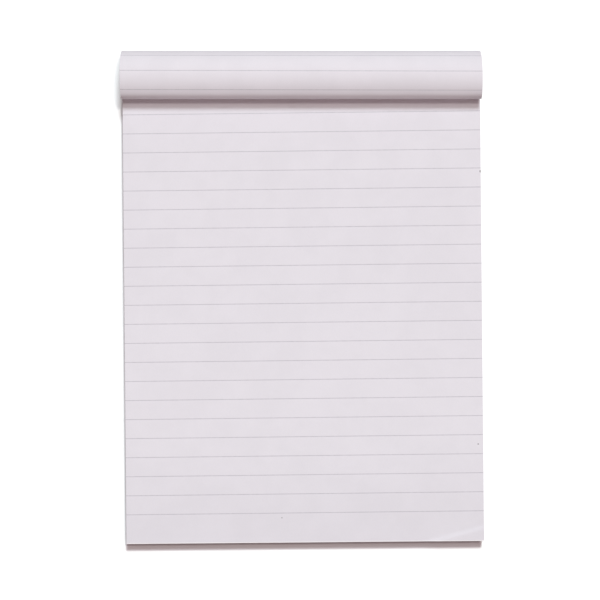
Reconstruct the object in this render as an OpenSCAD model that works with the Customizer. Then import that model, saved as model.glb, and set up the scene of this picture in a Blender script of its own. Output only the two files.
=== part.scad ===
// Head-bound writing pad whose used leaves are turned over the head and lie under its back.
// Millimetres. X runs across the pad, +Y points to the bound head, +Z is up.
// The origin lies on the table, under the middle of the pad.

/* [Pad] */
// Width of the leaves and of the back
pad_w = 150; // [100:1:220]
// Length of the leaves and of the back, from foot to head
pad_l = 200; // [140:1:300]
// Height of the block of leaves that still lie flat
block_t = 4; // [2:0.1:15]
// Thickness of the chipboard back
board_t = 0.9; // [0.6:0.1:2]

/* [Turned leaves] */
// Thickness of the bundle of turned leaves
turned_t = 1; // [0.4:0.1:1.8]
// Outer radius of the bend where the bundle lifts off the page
rise_r = 5; // [2.5:0.1:8]
// Outer radius of the roll's crown and back, as a share of the roll's depth
crown_share = 0.575; // [0.52:0.005:0.65]
// Outer radius of the roll's front shoulder, as a share of the roll's depth
shoulder_share = 0.215; // [0.15:0.005:0.35]
// How far the roll stands out past the head
roll_reach = 6.25; // [4:0.05:9]
// Angle of the roll to the head edge, seen from above
roll_skew = -0.5; // [-1.2:0.1:1.2]

/* [Binding tape] */
// Thickness of the tape
tape_t = 0.15; // [0.1:0.05:0.4]
// Depth of the tape on the front of the pad
front_flap = 8.7; // [7:0.1:16]
// Depth of the tape on the back of the pad
back_flap = 16; // [8:0.5:30]

/* [Staples] */
// Number of staples, spaced evenly along the head
staple_count = 2; // [1:1:4]
// Distance from the head edge to the staples
staple_inset = 5; // [2:0.1:6]
// Width of a staple over its legs
staple_w = 12; // [8:0.5:16]
// Diameter of the staple wire
wire_d = 0.6; // [0.4:0.05:0.8]
// Radius of the wire's bends, at the middle of the wire
wire_bend_r = 0.6; // [0.5:0.05:1]
// Gap between the two clinched ends of a staple
clinch_gap = 2.4; // [0.5:0.1:4]

/* [Hidden] */
$fn = 96;

// Overrun of a cutting shape past what it cuts
cut_over = 1;
// Step to which the skew's shift is rounded up
shift_step = 0.01;
// Room between the front edge of the tape and the bundle's first bend
flap_room = 0.2;
// Room between the tape on the head and the bundle's last bend
under_room = 0.05;
// Clearance around the staple wire
wire_gap = 0.03;

// Levels of the stack, upwards from the table
board_z = turned_t + tape_t;
block_z = board_z + board_t;
page_z = block_z + block_t;
stack_z = page_z + turned_t;
head_y = pad_l / 2;

// Side section of the roll: it rises in front of the tape, arches over the head and falls behind it
skew_shift = ceil(pad_w / 2 * tan(abs(roll_skew)) / shift_step) * shift_step;
bend_y = head_y - front_flap - flap_room - skew_shift;
near_y = bend_y - rise_r;
far_y = head_y + roll_reach;
roll_w = far_y - near_y;
roll_y = (far_y + near_y) / 2;
crown_r = crown_share * roll_w;
crown_y = far_y - crown_r;
shoulder_r = shoulder_share * roll_w;
shoulder_y = near_y + shoulder_r;
shoulder_z = page_z + rise_r;

// The shoulder runs on into the crown without a kink, and the crown ends at the widest level of the back
crown_lean = asin((crown_y - shoulder_y) / (crown_r - shoulder_r));
back_z = shoulder_z - (crown_r - shoulder_r) * cos(crown_lean);
crown_z = back_z + crown_r;
under_r = min(roll_reach - tape_t - skew_shift - under_room, back_z);
under_y = far_y - under_r;
drop_l = back_z - under_r;
arch_l = (shoulder_r * (90 - crown_lean) + crown_r * (90 + crown_lean)) * PI / 180;

// Every turned leaf is as long as the pad, so each ends short of the one inside it
outer_path_l = head_y - bend_y + arch_l + drop_l + (rise_r + under_r) * PI / 2;
run_end_y = under_y - (pad_l - outer_path_l);
fan_l = 2 * PI * turned_t;

// Lines of the staple wire
leg_x = staple_w / 2 - wire_d / 2;
turn_x = leg_x - wire_bend_r;
bar_z = stack_z - wire_d / 2;
clinch_z = board_z + wire_d / 2;
leg_l = bar_z - clinch_z - 2 * wire_bend_r;
clinch_l = turn_x - clinch_gap / 2;

// Carries a side section, drawn with Y to the right and Z upwards, across the pad
module across(width) {
    rotate([90, 0, 90]) linear_extrude(width, center = true) children();
}

// Flat stock of the pad's own width and length
module sheet_stock(bottom_z, thickness) {
    translate([-pad_w / 2, -pad_l / 2, bottom_z]) cube([pad_w, pad_l, thickness]);
}

// Part of a disc around the origin, from one angle to another less than half a turn away
module sector(radius, from, to) {
    wedge_r = 2 * crown_r;
    intersection() {
        circle(r = radius);
        polygon([[0, 0], for (angle = [from, (from + to) / 2, to]) wedge_r * [cos(angle), sin(angle)]]);
    }
}

// The bundle bent around the origin
module bent_bundle(outer_r, from, to) {
    difference() {
        sector(outer_r, from, to);
        circle(r = outer_r - turned_t);
    }
}

// Filled section of the arch over the head, inset from the bundle's outer face
module arch_fill(inset) {
    translate([shoulder_y, shoulder_z]) sector(shoulder_r - inset, 90, 180);
    translate([crown_y, back_z]) sector(crown_r - inset, 0, 90 + crown_lean);
}

// Side section of the bundle, from its bound end over the head to its free end under the back
module bundle_section() {
    translate([bend_y, page_z]) square([head_y + skew_shift - bend_y, turned_t]);
    translate([bend_y, shoulder_z]) bent_bundle(rise_r, 180, 270);
    difference() {
        arch_fill(0);
        arch_fill(turned_t);
    }
    if (drop_l > 0) translate([far_y - turned_t, under_r]) square([turned_t, drop_l]);
    translate([under_y, under_r]) bent_bundle(under_r, 270, 360);
    polygon([[under_y, 0], [under_y, turned_t], [run_end_y - fan_l, turned_t], [run_end_y, 0]]);
}

// The bundle askew on the pad, trimmed flush with the pad's sides
module skewed_bundle() {
    long_w = pad_w + 2 * (cut_over + pad_l * tan(abs(roll_skew)));
    trim_l = 2 * (pad_l + roll_reach);
    trim_z = crown_z + cut_over;
    intersection() {
        translate([0, roll_y, 0]) rotate([0, 0, roll_skew]) translate([0, -roll_y, 0])
            across(long_w) bundle_section();
        translate([-pad_w / 2, -trim_l / 2, -cut_over]) cube([pad_w, trim_l, trim_z + cut_over]);
    }
}

// One length of wire bent to a quarter turn, from straight out along X to straight up
module wire_bend(diameter) {
    rotate([90, 0, 0]) rotate_extrude(angle = 90) translate([wire_bend_r, 0]) circle(d = diameter);
}

// A staple with its legs clinched inwards, its wire grown by a clearance all round
module staple_wire(gap = 0) {
    grown_d = wire_d + 2 * gap;
    end_l = clinch_l + gap;
    translate([-turn_x, 0, bar_z]) rotate([0, 90, 0]) cylinder(d = grown_d, h = 2 * turn_x);
    for (side = [0, 1]) mirror([side, 0, 0]) {
        translate([turn_x, 0, bar_z - wire_bend_r]) wire_bend(grown_d);
        translate([leg_x, 0, clinch_z + wire_bend_r]) cylinder(d = grown_d, h = leg_l);
        translate([turn_x, 0, clinch_z + wire_bend_r]) mirror([0, 0, 1]) wire_bend(grown_d);
        translate([turn_x - end_l, 0, clinch_z]) rotate([0, 90, 0]) cylinder(d = grown_d, h = end_l);
    }
}

// What a staple takes out of the paper and board: its holes, and open grooves for its bar and ends
module staple_slot() {
    slot_d = wire_d + 2 * wire_gap;
    slot_x = staple_w / 2 + wire_gap;
    end_x = clinch_gap / 2 - wire_gap;
    groove_h = wire_d / 2 + tape_t / 2;
    staple_wire(wire_gap);
    translate([-slot_x, -slot_d / 2, bar_z]) cube([2 * slot_x, slot_d, groove_h]);
    for (side = [0, 1]) mirror([side, 0, 0])
        translate([end_x, -slot_d / 2, clinch_z - groove_h]) cube([slot_x - end_x, slot_d, groove_h]);
}

// Places its child at every staple along the head
module at_staples() {
    spacing = pad_w / staple_count;
    for (i = [0 : staple_count - 1])
        translate([(i + 0.5) * spacing - pad_w / 2, head_y - staple_inset, 0]) children();
}

module page_block() {
    color("#e3dee4") difference() {
        sheet_stock(block_z, block_t);
        at_staples() staple_slot();
    }
}

module turned_leaves() {
    trim_w = pad_w + 2 * cut_over;
    trim_l = 2 * skew_shift + under_room;
    color("#e7e2e8") difference() {
        skewed_bundle();
        translate([-trim_w / 2, head_y, page_z - tape_t]) cube([trim_w, trim_l, turned_t + 2 * tape_t]);
        at_staples() staple_slot();
    }
}

module backing_board() {
    color("#a28f76") difference() {
        sheet_stock(board_z, board_t);
        at_staples() staple_slot();
    }
}

module binding_tape() {
    color("#d3cec6") across(pad_w) {
        translate([head_y - front_flap, stack_z]) square([front_flap, tape_t]);
        translate([head_y, board_z]) square([tape_t, stack_z - board_z]);
        translate([head_y - back_flap, board_z - tape_t]) square([back_flap, tape_t]);
        for (corner = [[stack_z, 0], [board_z, 1]])
            translate([head_y, corner[0]]) mirror([0, corner[1]]) intersection() {
                circle(r = tape_t);
                square(tape_t);
            }
    }
}

module staples() {
    color("#b8bbbf") at_staples() staple_wire();
}

page_block();
turned_leaves();
backing_board();
binding_tape();
staples();
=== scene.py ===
# Looks of a head-bound writing pad whose used leaves are turned over the head and lie under its back.
# Metres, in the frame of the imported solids: X across the pad, +Y to the bound head, +Z up from the table.
import math

import bpy
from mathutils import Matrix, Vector


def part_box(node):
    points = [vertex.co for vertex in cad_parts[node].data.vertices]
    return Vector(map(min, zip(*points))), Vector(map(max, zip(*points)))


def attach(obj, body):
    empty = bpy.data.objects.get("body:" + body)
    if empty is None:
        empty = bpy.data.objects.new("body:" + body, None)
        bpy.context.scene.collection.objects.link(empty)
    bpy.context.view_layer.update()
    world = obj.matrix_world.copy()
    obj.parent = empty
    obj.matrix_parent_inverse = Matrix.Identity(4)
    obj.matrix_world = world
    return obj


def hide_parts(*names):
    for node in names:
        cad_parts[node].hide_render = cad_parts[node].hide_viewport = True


MM = 0.001

# Leaves: how they lie on each other, and how far their cut edges are out of line
LEAF_PITCH = 0.1 * MM
PAPER_SHARE = 0.86
TURNED_COUNT = 10
SIDE_SPREAD = 0.07 * MM
FOOT_SPREAD = 0.12 * MM
BLOCK_SEED = 3
BUNDLE_SEED = 11
SHARP_ANGLE = math.radians(40)

# Roll of turned leaves, with the sizes of its solid
RISE_R = 5 * MM
SHOULDER_R = 4.474 * MM
CROWN_R = 11.966 * MM
ROLL_W = 20.81 * MM
ROLL_SKEW = math.radians(-0.5)

# Lifted corner of the top leaf, at the right of the foot
CORNER_ALONG_FOOT = 26.6 * MM
CORNER_ALONG_SIDE = 6.9 * MM
CORNER_RAMP = 2.2 * MM
CORNER_LIFT = 0.6 * MM

# Faces of the roll, and of the top leaf, which has close rows at the foot, where its corner lifts
ARC_STEP = math.radians(4)
ROLL_COLUMNS = 16
PAGE_COLUMNS = 160
PAGE_ROW = 5 * MM
FOOT_ROW = 0.4 * MM
FOOT_ROWS = 24

# Map of a printed leaf: the printed side, and beside it the hidden side in a narrow strip
LEAF_MAP = "OFBake"
MAP_MARGIN_SHARE = 0.005
PRINT_W_SHARE = 0.89
PRINT_L_SHARE = 0.99
BACK_START_SHARE = 0.905
BACK_W_SHARE = 0.1

# Ruled print
LINE_PITCH = 7.99 * MM
LINE_W = 0.3 * MM
LINE_SOFT = 0.08 * MM
LINE_COUNT = 22
FOOT_MARGIN = 12.39 * MM
BACK_MARGIN = 15.25 * MM
PRINT_SLOPE = math.tan(math.radians(0.15))
INK_SHARE = 0.7
INK_GRAIN = {"scale": 700, "detail": 2}
INK_GRAIN_SHARES = (0.72, 1.0)

# Greying of the page towards its foot, and a painted highlight along its cut edge there
FOOT_GREYING_L = 50 * MM
FOOT_GREYING_SHARE = 0.11
EDGE_HIGHLIGHT_START = 0.5 * MM
EDGE_HIGHLIGHT_FULL = 0.1 * MM

# Specks in the paper: across, from the foot upwards, and radius
SPECKS = (
    (72.9 * MM, 40.6 * MM, 0.38 * MM),
    (-9.7 * MM, 10.4 * MM, 0.3 * MM),
    (75.0 * MM, 155.0 * MM, 0.7 * MM),
)
SPECK_CORE_SHARE = 0.5
SPECK_INK_SHARE = 0.8

# Spans of a noise over which a finish goes from its first value to its last
NARROW_SPAN = (0.3, 0.7)
MIDDLE_SPAN = (0.25, 0.75)
WIDE_SPAN = (0.2, 0.8)

# Paper
PAPER_CLOUD = {"scale": 85, "detail": 2}
PAPER_CLOUD_TONES = (0.985, 1.012)
PAPER_FIBRE = {"scale": 2600, "detail": 4, "roughness": 0.65}
PAPER_FIBRE_STRETCH = (1.0, 0.45, 1.0)
PAPER_FIBRE_TONES = (-0.012, 0.012)
PAPER_FIBRE_HEIGHT = 0.004 * MM
PAPER_ROUGHNESS = (0.78, 0.92)
PAPER_SPECULAR = 0.3
DARK_LEAF_TONE = (0.93, 0.925, 0.92)

# Chipboard
CHIP_CLOUD = {"scale": 60, "detail": 3}
CHIP_CLOUD_SPAN = (0.35, 0.75)
CHIP_CLOUD_SHARES = (0.0, 0.35)
CHIP_GRAIN = {"scale": 900, "detail": 5, "roughness": 0.7}
CHIP_GRAIN_STRETCH = (1.0, 0.35, 2.0)
CHIP_GRAIN_HEIGHT = 0.03 * MM
CHIP_FLECK = {"scale": 420, "detail": 2}
CHIP_FLECK_STRETCH = (0.5, 1.0, 1.5)
PALE_FLECK_SPAN = (0.66, 0.72)
PALE_FLECK_SHARES = (0.0, 0.7)
DARK_FLECK_SPAN = (0.34, 0.28)
DARK_FLECK_SHARES = (0.0, 0.6)
CHIP_ROUGHNESS = (0.82, 0.95)
CHIP_SPECULAR = 0.2

# Binding tape
WARP_PITCH = 0.45 * MM
WEFT_PITCH = 0.5 * MM
TAPE_WEAR = {"scale": 260, "detail": 4, "roughness": 0.6}
TAPE_TONE_SPAN = (0.5, 1.5)
TAPE_PRESS_HEIGHT = 0.02 * MM
TAPE_ROUGHNESS = (0.5, 0.68)
TAPE_SPECULAR = 0.35

# Staple wire
WIRE_MARKS = {"scale": 5200, "detail": 3}
WIRE_MARKS_STRETCH = (0.06, 1.0, 1.0)
WIRE_MARKS_SHARES = (0.0, 0.25)
WIRE_MARKS_HEIGHT = 0.005 * MM
WIRE_ROUGHNESS = (0.26, 0.42)
WIRE_SPECULAR = 0.5

# Camera, looking down on the page
CAMERA_HEIGHT = 700 * MM
VIEW_W = 251.7 * MM
VIEW_X = -1.3 * MM
VIEW_Y = 1.68 * MM
VIEW_TURN = math.radians(-0.52)
SENSOR_W = 36

# Light: a key light from beyond the head, a second lamp more from overhead, and the sky
KEY_DIRECTION = (0.1, 0.6, 1)
KEY_ANGLE = math.radians(14)
KEY_STRENGTH = 2.03
KEY_COLOUR = (0.89, 1.0, 1.03)
OVERHEAD_DIRECTION = (0.25, 0.25, 1)
OVERHEAD_ANGLE = math.radians(9)
OVERHEAD_STRENGTH = 0.78
OVERHEAD_COLOUR = (1.03, 1.0, 0.95)
SKY_SPAN = 0.7
SKY_FOOT = 0.25
SKY_HEAD = 0.145
SKY_COLOUR = (1.3, 1.0, 0.97)

# Floor: how white it looks, and the share of the light that it throws back
FLOOR_SIZE = 4
FLOOR_WHITE = 1.18
FLOOR_BOUNCE_SHARE = 0.3

# Painted shadow: a darker patch of the floor under the pad, which deepens the pad's shadow and ends within
# it
PATCH_PAST_FOOT = 3.3 * MM
PATCH_PAST_SIDE = 0.4 * MM
PATCH_SOFT = 1.1 * MM
PAINTED_SHADOW_TONE = (0.645, 0.6, 0.627, 1.0)

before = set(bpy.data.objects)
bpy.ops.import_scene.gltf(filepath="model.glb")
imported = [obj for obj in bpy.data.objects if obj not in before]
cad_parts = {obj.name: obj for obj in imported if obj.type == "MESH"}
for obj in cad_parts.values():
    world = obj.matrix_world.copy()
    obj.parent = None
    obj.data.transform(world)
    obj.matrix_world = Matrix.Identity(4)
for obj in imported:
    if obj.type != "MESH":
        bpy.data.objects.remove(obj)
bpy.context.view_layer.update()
block_low, block_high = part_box("page_block")
turned_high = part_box("turned_leaves")[1]
page_w = block_high.x - block_low.x
leaf_l = block_high.y - block_low.y
page_z = block_high.z


def srgb(red, green, blue):
    """A colour given as 0 to 255 on screen, as linear light with full alpha."""
    shares = [value / 255 for value in (red, green, blue)]
    linear = [s / 12.92 if s <= 0.04045 else ((s + 0.055) / 1.055) ** 2.4 for s in shares]
    return (*linear, 1)


PAGE_WHITE = srgb(229, 224, 230)
# Painted shade: the turned leaves are the page's paper, drawn a little darker for how light falls on the
# roll
ROLL_SHADED_WHITE = srgb(228, 222, 228)
# Painted highlight along the cut edge of the page at its foot
PAINTED_EDGE_HIGHLIGHT = srgb(243, 239, 240)
INK_GREY = srgb(176, 171, 179)
SPECK_GREY = srgb(120, 112, 112)
CHIP_BROWN = srgb(168, 149, 124)
CHIP_DARK = srgb(126, 108, 88)
CHIP_PALE = srgb(198, 184, 160)
TAPE_GREY = srgb(205, 200, 192)
TAPE_DARK = srgb(176, 170, 162)
WIRE_GREY = srgb(190, 192, 196)
PLAIN_WHITE = srgb(255, 255, 255)


class Bench:
    """Adds nodes to a tree. An input given as a socket is linked, any other value is set on it."""

    def __init__(self, tree):
        self.tree = tree

    def add(self, kind, settings=None, inputs=None):
        """A node with its settings and its inputs."""
        node = self.tree.nodes.new(kind)
        for name, value in (settings or {}).items():
            setattr(node, name, value)
        for key, value in (inputs or {}).items():
            socket = node.inputs[key]
            if isinstance(value, bpy.types.NodeSocket):
                self.tree.links.new(value, socket)
            else:
                socket.default_value = value
        return node

    def maths(self, operation, *values):
        """What an operation makes of numbers."""
        inputs = dict(enumerate(values))
        return self.add("ShaderNodeMath", {"operation": operation}, inputs).outputs[0]

    def product(self, first, *others):
        """Numbers multiplied, one after the other."""
        for other in others:
            first = self.maths("MULTIPLY", first, other)
        return first

    def vector(self, operation, *values):
        """What an operation makes of vectors or colours."""
        inputs = dict(enumerate(values))
        return self.add("ShaderNodeVectorMath", {"operation": operation}, inputs).outputs[0]

    def scaled(self, vector, factor):
        """A vector or colour times one number."""
        inputs = {0: vector, "Scale": factor}
        return self.add("ShaderNodeVectorMath", {"operation": "SCALE"}, inputs).outputs[0]

    def distance(self, first, second):
        """How far apart two places are."""
        inputs = {0: first, 1: second}
        return self.add("ShaderNodeVectorMath", {"operation": "DISTANCE"}, inputs).outputs["Value"]

    def in_xyz(self, x, y, z):
        """A vector of three numbers."""
        return self.add("ShaderNodeCombineXYZ", None, {0: x, 1: y, 2: z}).outputs[0]

    def parts(self, vector):
        """The three numbers of a vector."""
        return self.add("ShaderNodeSeparateXYZ", None, {0: vector}).outputs

    def ramp(self, value, start, end, first=0.0, last=1.0):
        """A smooth step from first to last as value goes from start to end."""
        inputs = {"Value": value, "From Min": start, "From Max": end, "To Min": first, "To Max": last}
        return self.add("ShaderNodeMapRange", {"interpolation_type": "SMOOTHSTEP"}, inputs).outputs[0]

    def mix(self, share, first, second):
        """Two colours mixed, with a share of the second."""
        inputs = {0: share, 6: first, 7: second}
        return self.add("ShaderNodeMix", {"data_type": "RGBA"}, inputs).outputs[2]

    def noise(self, place, scale, detail, roughness=0.55):
        """A noise from 0 to 1 at a place."""
        inputs = {"Vector": place, "Scale": scale, "Detail": detail, "Roughness": roughness}
        return self.add("ShaderNodeTexNoise", None, inputs).outputs[0]

    def stretched_noise(self, place, stretch, **noise):
        """A noise that is drawn out along an axis where stretch is small."""
        return self.noise(self.vector("MULTIPLY", place, stretch), **noise)

    def attribute(self, name):
        """A number that the mesh keeps under a name."""
        return self.add("ShaderNodeAttribute", {"attribute_name": name}).outputs["Fac"]

    def object_place(self):
        """The place on the object, in metres."""
        return self.add("ShaderNodeTexCoord").outputs["Object"]


def empty_material(name):
    """A material without nodes, and its bench."""
    material = bpy.data.materials.new(name)
    material.use_nodes = True
    material.node_tree.nodes.clear()
    return material, Bench(material.node_tree)


def new_finish(name):
    """A material with its bench, its Object coordinates and its shader."""
    material, bench = empty_material(name)
    place = bench.object_place()
    shader = bench.add("ShaderNodeBsdfPrincipled")
    bench.add("ShaderNodeOutputMaterial", None, {"Surface": shader.outputs[0]})
    return material, bench, place, shader


def finish_shader(bench, shader, colour, roughness, height, bump_distance, specular):
    """Links colour, roughness and a bump to a shader."""
    bump = bench.add("ShaderNodeBump", None, {"Strength": 1.0, "Distance": bump_distance, "Height": height})
    bench.tree.links.new(colour, shader.inputs["Base Color"])
    bench.tree.links.new(roughness, shader.inputs["Roughness"])
    bench.tree.links.new(bump.outputs[0], shader.inputs["Normal"])
    shader.inputs["Specular IOR Level"].default_value = specular


def paper_stock(bench, place, white):
    """The mottled colour of white paper, its roughness and the height of its fibres."""
    cloud = bench.noise(place, **PAPER_CLOUD)
    fibre = bench.stretched_noise(place, PAPER_FIBRE_STRETCH, **PAPER_FIBRE)
    cloud_tone = bench.ramp(cloud, *NARROW_SPAN, *PAPER_CLOUD_TONES)
    fibre_tone = bench.ramp(fibre, *MIDDLE_SPAN, *PAPER_FIBRE_TONES)
    colour = bench.scaled(white[:3], bench.maths("ADD", cloud_tone, fibre_tone))
    return colour, bench.ramp(fibre, *WIDE_SPAN, *PAPER_ROUGHNESS), fibre


def finish_paper(bench, shader, colour, roughness, fibre):
    """Links the looks of a sheet of paper to its shader."""
    finish_shader(bench, shader, colour, roughness, fibre, PAPER_FIBRE_HEIGHT, PAPER_SPECULAR)


def ruled_lines(bench, place, along, first_line):
    """Share of ink at a distance along the leaf, for evenly ruled lines."""
    across = bench.parts(place)[0]
    sloped = bench.maths("MULTIPLY_ADD", across, PRINT_SLOPE, along)
    past_first = bench.maths("SUBTRACT", sloped, first_line)
    nearest = bench.maths("PINGPONG", past_first, LINE_PITCH / 2)
    ink = bench.ramp(nearest, LINE_W / 2 - LINE_SOFT, LINE_W / 2 + LINE_SOFT, 1.0, 0.0)
    after_head = bench.maths("GREATER_THAN", past_first, -LINE_PITCH / 2)
    before_foot = bench.maths("LESS_THAN", past_first, (LINE_COUNT - 0.5) * LINE_PITCH)
    grain = bench.ramp(bench.noise(place, **INK_GRAIN), *MIDDLE_SPAN, *INK_GRAIN_SHARES)
    return bench.product(after_head, before_foot, ink, grain, INK_SHARE)


def ruled_paper(name, white, first_line):
    """White paper with ruled lines, the first of them at a distance from the head."""
    material, bench, place, shader = new_finish(name)
    along = bench.attribute("along_leaf")
    colour, roughness, fibre = paper_stock(bench, place, white)
    colour = bench.mix(ruled_lines(bench, place, along, first_line), colour, INK_GREY)
    finish_paper(bench, shader, colour, roughness, fibre)
    return material


def page_paper():
    """The ruled paper of the page on top, greyer towards its foot, with a painted highlight along its cut
    edge there and a few specks.
    """
    material, bench, place, shader = new_finish("page_paper")
    along = bench.attribute("along_leaf")
    colour, roughness, fibre = paper_stock(bench, place, PAGE_WHITE)
    # The page turns greyer over its last stretch before the foot
    greyer_to_foot = bench.ramp(along, leaf_l - FOOT_GREYING_L, leaf_l, 0.0, FOOT_GREYING_SHARE)
    colour = bench.mix(greyer_to_foot, colour, INK_GREY)
    head_margin = leaf_l - FOOT_MARGIN - (LINE_COUNT - 1) * LINE_PITCH
    colour = bench.mix(ruled_lines(bench, place, along, head_margin), colour, INK_GREY)
    # Painted highlight on the last strip of the page before its cut edge at the foot
    painted_edge_highlight = bench.ramp(along, leaf_l - EDGE_HIGHLIGHT_START, leaf_l - EDGE_HIGHLIGHT_FULL)
    colour = bench.mix(painted_edge_highlight, colour, PAINTED_EDGE_HIGHLIGHT)
    for speck_x, above_foot, radius in SPECKS:
        from_speck = bench.distance(place, (speck_x, block_low.y + above_foot, page_z))
        speck = bench.ramp(from_speck, radius * SPECK_CORE_SHARE, radius, SPECK_INK_SHARE, 0.0)
        colour = bench.mix(speck, colour, SPECK_GREY)
    finish_paper(bench, shader, colour, roughness, fibre)
    return material


def plain_paper(name, white):
    """White paper of a pile of leaves, each leaf a little lighter or darker than the next."""
    material, bench, place, shader = new_finish(name)
    colour, roughness, fibre = paper_stock(bench, place, white)
    dark_leaf = bench.vector("MULTIPLY", colour, DARK_LEAF_TONE)
    colour = bench.mix(bench.attribute("leaf_tone"), dark_leaf, colour)
    finish_paper(bench, shader, colour, roughness, fibre)
    return material


def chipboard():
    """Grey-brown pressed board with paler and darker fibres."""
    material, bench, place, shader = new_finish("chipboard")
    cloud = bench.noise(place, **CHIP_CLOUD)
    grain = bench.stretched_noise(place, CHIP_GRAIN_STRETCH, **CHIP_GRAIN)
    fleck = bench.stretched_noise(place, CHIP_FLECK_STRETCH, **CHIP_FLECK)
    colour = bench.mix(bench.ramp(grain, *NARROW_SPAN), CHIP_DARK, CHIP_BROWN)
    colour = bench.mix(bench.ramp(cloud, *CHIP_CLOUD_SPAN, *CHIP_CLOUD_SHARES), colour, CHIP_PALE)
    colour = bench.mix(bench.ramp(fleck, *PALE_FLECK_SPAN, *PALE_FLECK_SHARES), colour, CHIP_PALE)
    colour = bench.mix(bench.ramp(fleck, *DARK_FLECK_SPAN, *DARK_FLECK_SHARES), colour, CHIP_DARK)
    roughness = bench.ramp(grain, *WIDE_SPAN, *CHIP_ROUGHNESS)
    finish_shader(bench, shader, colour, roughness, grain, CHIP_GRAIN_HEIGHT, CHIP_SPECULAR)
    return material


def tape_paper():
    """Pale grey binding tape with a fine linen press."""
    material, bench, place, shader = new_finish("tape_paper")
    across, lengthwise, upright = bench.parts(place)
    down = bench.maths("ADD", lengthwise, upright)
    warp = bench.maths("SINE", bench.maths("MULTIPLY", across, math.tau / WARP_PITCH))
    weft = bench.maths("SINE", bench.maths("MULTIPLY", down, math.tau / WEFT_PITCH))
    # The two waves together go from -1 to 1, and the press from 0 to 1
    weave = bench.maths("MULTIPLY_ADD", bench.product(warp, weft), 0.5, 0.5)
    worn = bench.noise(place, **TAPE_WEAR)
    height = bench.maths("ADD", weave, worn)
    colour = bench.mix(bench.ramp(height, *TAPE_TONE_SPAN), TAPE_DARK, TAPE_GREY)
    roughness = bench.ramp(worn, *NARROW_SPAN, *TAPE_ROUGHNESS)
    finish_shader(bench, shader, colour, roughness, height, TAPE_PRESS_HEIGHT, TAPE_SPECULAR)
    return material


def staple_wire():
    """Bright drawn wire with fine marks along it."""
    material, bench, place, shader = new_finish("staple_wire")
    marks = bench.stretched_noise(place, WIRE_MARKS_STRETCH, **WIRE_MARKS)
    colour = bench.mix(bench.ramp(marks, *NARROW_SPAN, *WIRE_MARKS_SHARES), WIRE_GREY, CHIP_DARK)
    roughness = bench.ramp(marks, *NARROW_SPAN, *WIRE_ROUGHNESS)
    finish_shader(bench, shader, colour, roughness, marks, WIRE_MARKS_HEIGHT, WIRE_SPECULAR)
    shader.inputs["Metallic"].default_value = 1.0
    return material


def leaf_tree():
    """Geometry nodes that lay leaves along a path, each one leaf further to the inside of its bends."""
    tree = bpy.data.node_groups.new("leaves_along_path", "GeometryNodeTree")
    kinds = (
        ("Path", "Geometry"), ("Leaf Width", "Float"), ("Columns", "Int"), ("First Leaf", "Int"),
        ("Leaf Count", "Int"), ("Pitch", "Float"), ("Turning", "Float"), ("Side Spread", "Float"),
        ("Foot Spread", "Float"), ("Skew", "Float"), ("Skew From", "Float"), ("Skew To", "Float"),
        ("Seed", "Int"), ("Flip", "Bool"), ("Paper", "Material"),
    )
    for name, kind in kinds:
        tree.interface.new_socket(name=name, in_out="INPUT", socket_type="NodeSocket" + kind)
    tree.interface.new_socket(name="Leaves", in_out="OUTPUT", socket_type="NodeSocketGeometry")
    bench = Bench(tree)
    given = bench.add("NodeGroupInput").outputs
    curves = leaf_curves(bench, given)
    sheets = leaf_sheets(bench, given, curves)
    bench.add("NodeGroupOutput", None, {"Leaves": sheets})
    return tree


def leaf_curves(bench, given):
    """A path for each leaf: inset by its depth, as long as the others, and a little out of line."""
    path = bench.add("GeometryNodeMeshToCurve", None, {"Mesh": given["Path"]}).outputs[0]
    inputs = {"Geometry": path, "Amount": given["Leaf Count"]}
    copies = bench.add("GeometryNodeDuplicateElements", {"domain": "SPLINE"}, inputs).outputs
    leaf = bench.maths("ADD", copies["Duplicate Index"], given["First Leaf"])
    depth = bench.maths("MULTIPLY", bench.maths("ADD", leaf, 0.5), given["Pitch"])
    along = bench.add("GeometryNodeSplineParameter").outputs["Length"]
    curves = store(bench, copies["Geometry"], "along_leaf", along)
    curves = store(bench, curves, "leaf_tone", random_share(bench, leaf, given["Seed"], 0.0, 1.0))

    tangent = bench.add("GeometryNodeInputTangent").outputs[0]
    inwards = bench.vector("CROSS_PRODUCT", tangent, (1.0, 0.0, 0.0))
    curves = moved(bench, curves, bench.scaled(inwards, depth))
    spare = bench.product(depth, given["Turning"], -1.0)
    inputs = {"Start Size": 0, "End Size": 1}
    free_end = bench.add("GeometryNodeCurveEndpointSelection", None, inputs).outputs[0]
    curves = moved(bench, curves, bench.in_xyz(0.0, spare, 0.0), free_end)

    side_seed = bench.maths("ADD", given["Seed"], 1.0)
    foot_seed = bench.maths("ADD", given["Seed"], 2.0)
    side = bench.product(random_share(bench, leaf, side_seed, -1.0, 1.0), given["Side Spread"])
    foot = bench.product(random_share(bench, leaf, foot_seed, -1.0, 0.0), given["Foot Spread"])
    return moved(bench, curves, bench.in_xyz(side, foot, 0.0))


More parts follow.
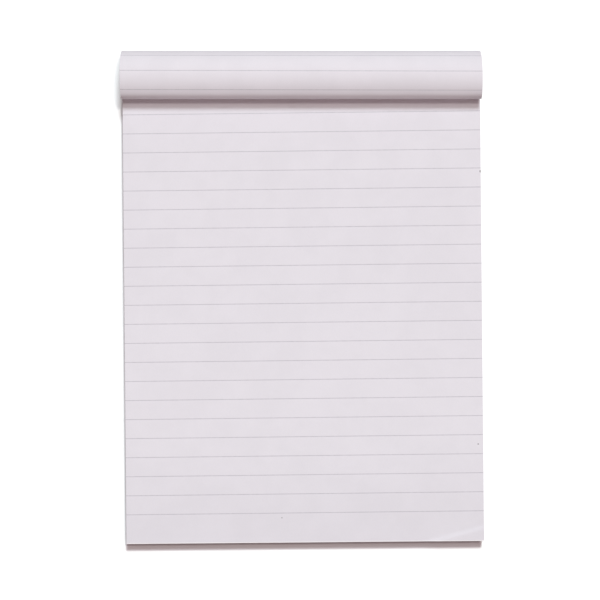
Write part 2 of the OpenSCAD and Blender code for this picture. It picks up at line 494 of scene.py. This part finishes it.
def leaf_sheets(bench, given, curves):
    """Sheets as wide as the leaf along their paths, askew between two distances along the leaf."""
    half = bench.maths("MULTIPLY", given["Leaf Width"], 0.5)
    left = bench.in_xyz(bench.maths("MULTIPLY", half, -1.0), 0.0, 0.0)
    right = bench.in_xyz(half, 0.0, 0.0)
    line = bench.add("GeometryNodeCurvePrimitiveLine", None, {"Start": left, "End": right}).outputs[0]
    points = bench.maths("ADD", given["Columns"], 1.0)
    line = bench.add("GeometryNodeResampleCurve", None, {"Curve": line, "Count": points}).outputs[0]
    inputs = {"Curve": curves, "Profile Curve": line}
    sheets = bench.add("GeometryNodeCurveToMesh", None, inputs).outputs[0]

    settings = {"data_type": "FLOAT"}
    along = bench.add("GeometryNodeInputNamedAttribute", settings, {"Name": "along_leaf"}).outputs[0]
    rising = bench.ramp(along, 0.0, given["Skew From"])
    straight_again = bench.maths("MULTIPLY", given["Skew To"], 2.0)
    falling = bench.ramp(along, given["Skew To"], straight_again, 1.0, 0.0)
    across = bench.parts(bench.add("GeometryNodeInputPosition").outputs[0])[0]
    lean = bench.product(bench.product(across, given["Skew"]), bench.product(rising, falling))
    sheets = moved(bench, sheets, bench.in_xyz(0.0, lean, 0.0))

    inputs = {"Mesh": sheets, "Selection": given["Flip"]}
    sheets = bench.add("GeometryNodeFlipFaces", None, inputs).outputs[0]
    sheets = bench.add("GeometryNodeRealizeInstances", None, {"Geometry": sheets}).outputs[0]
    inputs = {"Geometry": sheets, "Material": given["Paper"]}
    return bench.add("GeometryNodeSetMaterial", None, inputs).outputs[0]


def store(bench, geometry, name, value):
    """Keeps a number on every point under a name."""
    settings = {"data_type": "FLOAT", "domain": "POINT"}
    inputs = {"Geometry": geometry, "Name": name, "Value": value}
    return bench.add("GeometryNodeStoreNamedAttribute", settings, inputs).outputs[0]


def random_share(bench, item, seed, least, most):
    """A random number for each item."""
    inputs = {2: least, 3: most, "ID": item, "Seed": seed}
    return bench.add("FunctionNodeRandomValue", {"data_type": "FLOAT"}, inputs).outputs[1]


def moved(bench, geometry, offset, chosen=True):
    """Points shifted by an offset."""
    inputs = {"Geometry": geometry, "Selection": chosen, "Offset": offset}
    return bench.add("GeometryNodeSetPosition", None, inputs).outputs[0]


def arc(centre_y, centre_z, radius, start, end):
    """Points in the side section along an arc, its two ends included; angles in degrees."""
    steps = round(abs(math.radians(end - start)) / ARC_STEP)
    angles = [math.radians(start + (end - start) * i / steps) for i in range(steps + 1)]
    return [(0, centre_y + radius * math.cos(a), centre_z + radius * math.sin(a)) for a in angles]


def path_length(points):
    """Length of the straight lines from point to point."""
    return sum((Vector(b) - Vector(a)).length for a, b in zip(points, points[1:]))


def roll_path():
    """Side section of the turned leaves' outer face from head to free end, and its lengths to its bends."""
    head_y = block_high.y
    far_y = turned_high.y - page_w / 2 * math.sin(abs(ROLL_SKEW))
    near_y = far_y - ROLL_W
    bend_y = near_y + RISE_R
    shoulder_y = near_y + SHOULDER_R
    shoulder_z = page_z + RISE_R
    crown_y = far_y - CROWN_R
    back_z = turned_high.z - CROWN_R
    lean = math.degrees(math.asin((crown_y - shoulder_y) / (CROWN_R - SHOULDER_R)))
    under_y = far_y - back_z
    points = [(0, head_y, page_z)]
    points += arc(bend_y, shoulder_z, RISE_R, -90, -180)
    points += arc(shoulder_y, shoulder_z, SHOULDER_R, 180, 90 + lean)[1:]
    points += arc(crown_y, back_z, CROWN_R, 90 + lean, 0)[1:]
    points += arc(under_y, back_z, back_z, 0, -90)[1:]
    used_l = path_length(points)
    points.append((0, under_y - (leaf_l - used_l), 0))
    return points, head_y - bend_y, used_l


def page_path():
    """The flat top leaf from head to foot, with close rows where its corner lifts."""
    foot_l = FOOT_ROW * FOOT_ROWS
    flat_rows = round((leaf_l - foot_l) / PAGE_ROW)
    places = [(leaf_l - foot_l) * i / flat_rows for i in range(flat_rows)]
    places += [leaf_l - foot_l + FOOT_ROW * i for i in range(FOOT_ROWS + 1)]
    return [(0, block_high.y - place, page_z - LEAF_PITCH) for place in places]


def plain_mesh(piece):
    """Turns what the modifiers make into the piece's own mesh."""
    bpy.context.view_layer.update()
    evaluated = piece.evaluated_get(bpy.context.evaluated_depsgraph_get())
    mesh = bpy.data.meshes.new_from_object(evaluated)
    piece.modifiers.clear()
    piece.data = mesh


def laid_leaves(name, points, tree, paper, **sizes):
    """Sheets of paper along a path, with no thickness yet."""
    mesh = bpy.data.meshes.new(name)
    mesh.from_pydata(points, [(i, i + 1) for i in range(len(points) - 1)], [])
    piece = bpy.data.objects.new(name, mesh)
    bpy.context.scene.collection.objects.link(piece)
    modifier = piece.modifiers.new("leaves", "NODES")
    modifier.node_group = tree
    names = {item.name: item.identifier for item in tree.interface.items_tree if item.in_out == "INPUT"}
    values = {"Leaf Width": page_w, "Pitch": LEAF_PITCH, "Paper": paper}
    values.update({key.replace("_", " ").title(): value for key, value in sizes.items()})
    for key, value in values.items():
        modifier[names[key]] = value
    plain_mesh(piece)
    return piece


def give_thickness(piece):
    """Makes closed leaves of the sheets, with smooth faces and sharp cut edges."""
    solid = piece.modifiers.new("thickness", "SOLIDIFY")
    solid.thickness = LEAF_PITCH * PAPER_SHARE
    solid.offset = 0
    plain_mesh(piece)
    piece.data.polygons.foreach_set("use_smooth", [True] * len(piece.data.polygons))
    piece.data.set_sharp_from_angle(angle=SHARP_ANGLE)


def lay_out_print(piece):
    """Spreads the printed side of one leaf over a map of its own."""
    mesh = piece.data
    layer = mesh.uv_layers.new(name=LEAF_MAP)
    along = mesh.attributes["along_leaf"].data
    for loop in mesh.loops:
        across_share = mesh.vertices[loop.vertex_index].co.x / page_w + 0.5
        up_share = 1 - along[loop.vertex_index].value / leaf_l
        map_x = MAP_MARGIN_SHARE + PRINT_W_SHARE * across_share
        map_y = MAP_MARGIN_SHARE + PRINT_L_SHARE * up_share
        layer.data[loop.index].uv = (map_x, map_y)


def set_back_aside(piece, printed_faces):
    """Moves the map of the hidden side of a leaf into a narrow strip beside the printed one."""
    mesh = piece.data
    layer = mesh.uv_layers[LEAF_MAP]
    for polygon in mesh.polygons[printed_faces:2 * printed_faces]:
        for index in polygon.loop_indices:
            layer.data[index].uv.x = BACK_START_SHARE + BACK_W_SHARE * layer.data[index].uv.x


def lift_corner(piece):
    """Bends the right corner of the foot up, along a slanted line."""
    corner = Vector((block_high.x, block_low.y, 0))
    span = math.hypot(CORNER_ALONG_FOOT, CORNER_ALONG_SIDE)
    for vertex in piece.data.vertices:
        across = (corner.x - vertex.co.x) / CORNER_ALONG_FOOT
        upwards = (vertex.co.y - corner.y) / CORNER_ALONG_SIDE
        inside = (1 - across - upwards) * CORNER_ALONG_FOOT * CORNER_ALONG_SIDE / span
        share = min(max(inside / CORNER_RAMP, 0), 1)
        # A smooth step, level at both ends
        vertex.co.z += CORNER_LIFT * share * share * (3 - 2 * share)


def make_pieces():
    """The leaves of the pad as separate pieces of paper, and the finish of what stays as modelled."""
    tree = leaf_tree()
    points, bend_l, under_l = roll_path()
    roll = {"turning": math.tau, "skew": math.tan(ROLL_SKEW), "skew_from": bend_l, "skew_to": under_l}
    roll["columns"] = ROLL_COLUMNS
    flat = {"skew_from": leaf_l, "skew_to": leaf_l}

    top_paper = page_paper()
    # The turned leaves' white carries painted shade: it is darker than the page's
    outer_paper = ruled_paper("turned_paper", ROLL_SHADED_WHITE, BACK_MARGIN)
    top_leaf = laid_leaves("top_leaf", page_path(), tree, top_paper, leaf_count=1, columns=PAGE_COLUMNS,
                           **flat)
    lift_corner(top_leaf)
    outer_leaf = laid_leaves("outer_turned_leaf", points, tree, outer_paper, leaf_count=1, flip=True, **roll)
    for piece, slot in ((top_leaf, "page_paper"), (outer_leaf, "turned_paper")):
        printed_faces = len(piece.data.polygons)
        lay_out_print(piece)
        give_thickness(piece)
        set_back_aside(piece, printed_faces)

    bottom = [(0, block_high.y, block_low.z), (0, block_low.y, block_low.z)]
    flat_count = round((block_high.z - block_low.z) / LEAF_PITCH) - 1
    block_paper = plain_paper("block_paper", PAGE_WHITE)
    leaf_block = laid_leaves("leaf_block", bottom, tree, block_paper, columns=1, leaf_count=flat_count,
                             side_spread=SIDE_SPREAD, foot_spread=FOOT_SPREAD, seed=BLOCK_SEED, **flat)
    # Same painted shade on the leaves inside the roll
    bundle_paper = plain_paper("bundle_paper", ROLL_SHADED_WHITE)
    bundle = laid_leaves("turned_bundle", points, tree, bundle_paper, first_leaf=1,
                         leaf_count=TURNED_COUNT - 1, side_spread=SIDE_SPREAD, seed=BUNDLE_SEED, **roll)
    for piece, slot in ((leaf_block, "page_paper"), (bundle, "turned_paper")):
        give_thickness(piece)

    for piece, node in ((top_leaf, "page_block"), (leaf_block, "page_block"),
                        (outer_leaf, "turned_leaves"), (bundle, "turned_leaves")):
        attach(piece, "root")
        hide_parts(node)
    finishes = {"backing_board": chipboard(), "binding_tape": tape_paper(), "staples": staple_wire()}
    for node, material in finishes.items():
        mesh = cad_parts[node].data
        mesh.materials.clear()
        mesh.materials.append(material)


def seen_directly(bench):
    """One for what is seen straight, in a mirror or through glass, nought for what lights a surface."""
    path = bench.add("ShaderNodeLightPath").outputs
    mirrored = bench.maths("MAXIMUM", path["Is Glossy Ray"], path["Is Transmission Ray"])
    return bench.maths("MAXIMUM", path["Is Camera Ray"], mirrored)


def floor_white():
    """White floor that throws back little light on the pad, with a painted shadow: a darker patch under the
    pad.
    """
    material, bench = empty_material("floor_white")
    seen = seen_directly(bench)
    white = bench.maths("MULTIPLY_ADD", seen, FLOOR_WHITE - FLOOR_BOUNCE_SHARE, FLOOR_BOUNCE_SHARE)
    across, lengthwise = bench.parts(bench.object_place())[:2]
    past_edges = (
        (bench.maths("SUBTRACT", block_low.y, lengthwise), PATCH_PAST_FOOT),
        (bench.maths("SUBTRACT", block_low.x, across), PATCH_PAST_SIDE),
        (bench.maths("SUBTRACT", across, block_high.x), -PATCH_SOFT),
        (bench.maths("SUBTRACT", lengthwise, block_high.y), -PATCH_SOFT),
    )
    fades = [bench.ramp(past_edge, reach, reach + PATCH_SOFT, 1.0, 0.0) for past_edge, reach in past_edges]
    # Painted shadow on the floor, darkest under the pad and fading out within the pad's shadow
    tone = bench.mix(bench.product(*fades), PLAIN_WHITE, PAINTED_SHADOW_TONE)
    paint = bench.add("ShaderNodeBsdfDiffuse", None, {"Color": bench.scaled(tone, white)})
    bench.add("ShaderNodeOutputMaterial", None, {"Surface": paint.outputs[0]})
    return material


def add_floor():
    """A level floor that carries the pad and its shadow."""
    half = FLOOR_SIZE / 2
    corners = [(-half, -half, 0), (half, -half, 0), (half, half, 0), (-half, half, 0)]
    mesh = bpy.data.meshes.new("floor")
    mesh.from_pydata(corners, [], [(0, 1, 2, 3)])
    mesh.materials.append(floor_white())
    floor = bpy.data.objects.new("floor", mesh)
    bpy.context.scene.collection.objects.link(floor)


def add_sky():
    """A sky that is brighter at the foot of the pad than at its head, and looks white."""
    world = bpy.data.worlds.new("sky")
    world.use_nodes = True
    world.node_tree.nodes.clear()
    bench = Bench(world.node_tree)
    headwards = bench.parts(bench.add("ShaderNodeTexCoord").outputs["Generated"])[1]
    level = bench.ramp(headwards, -SKY_SPAN, SKY_SPAN, SKY_FOOT, SKY_HEAD)
    colour = bench.mix(seen_directly(bench), bench.scaled(SKY_COLOUR, level), PLAIN_WHITE)
    light = bench.add("ShaderNodeBackground", None, {"Color": colour, "Strength": 1.0})
    bench.add("ShaderNodeOutputWorld", None, {"Surface": light.outputs[0]})
    bpy.context.scene.world = world


def add_sun(name, direction, angle, strength, colour):
    """A distant lamp that shines from a direction."""
    lamp = bpy.data.lights.new(name, "SUN")
    lamp.energy = strength
    lamp.angle = angle
    lamp.color = colour
    sun = bpy.data.objects.new(name, lamp)
    sun.rotation_euler = Vector(direction).to_track_quat("Z", "Y").to_euler()
    bpy.context.scene.collection.objects.link(sun)


def set_stage():
    """The floor, the sky and the two lamps."""
    bpy.context.scene.view_settings.view_transform = "Standard"
    add_floor()
    add_sky()
    add_sun("key", KEY_DIRECTION, KEY_ANGLE, KEY_STRENGTH, KEY_COLOUR)
    add_sun("overhead", OVERHEAD_DIRECTION, OVERHEAD_ANGLE, OVERHEAD_STRENGTH, OVERHEAD_COLOUR)


def set_camera():
    """Looks straight down on the page."""
    lens = bpy.data.cameras.new("camera")
    lens.sensor_width = SENSOR_W
    lens.lens = SENSOR_W * CAMERA_HEIGHT / VIEW_W
    camera = bpy.data.objects.new("camera", lens)
    camera.location = (VIEW_X, VIEW_Y, page_z + CAMERA_HEIGHT)
    camera.rotation_euler = (0, 0, VIEW_TURN)
    bpy.context.scene.collection.objects.link(camera)
    bpy.context.scene.camera = camera


set_stage()
set_camera()
make_pieces()
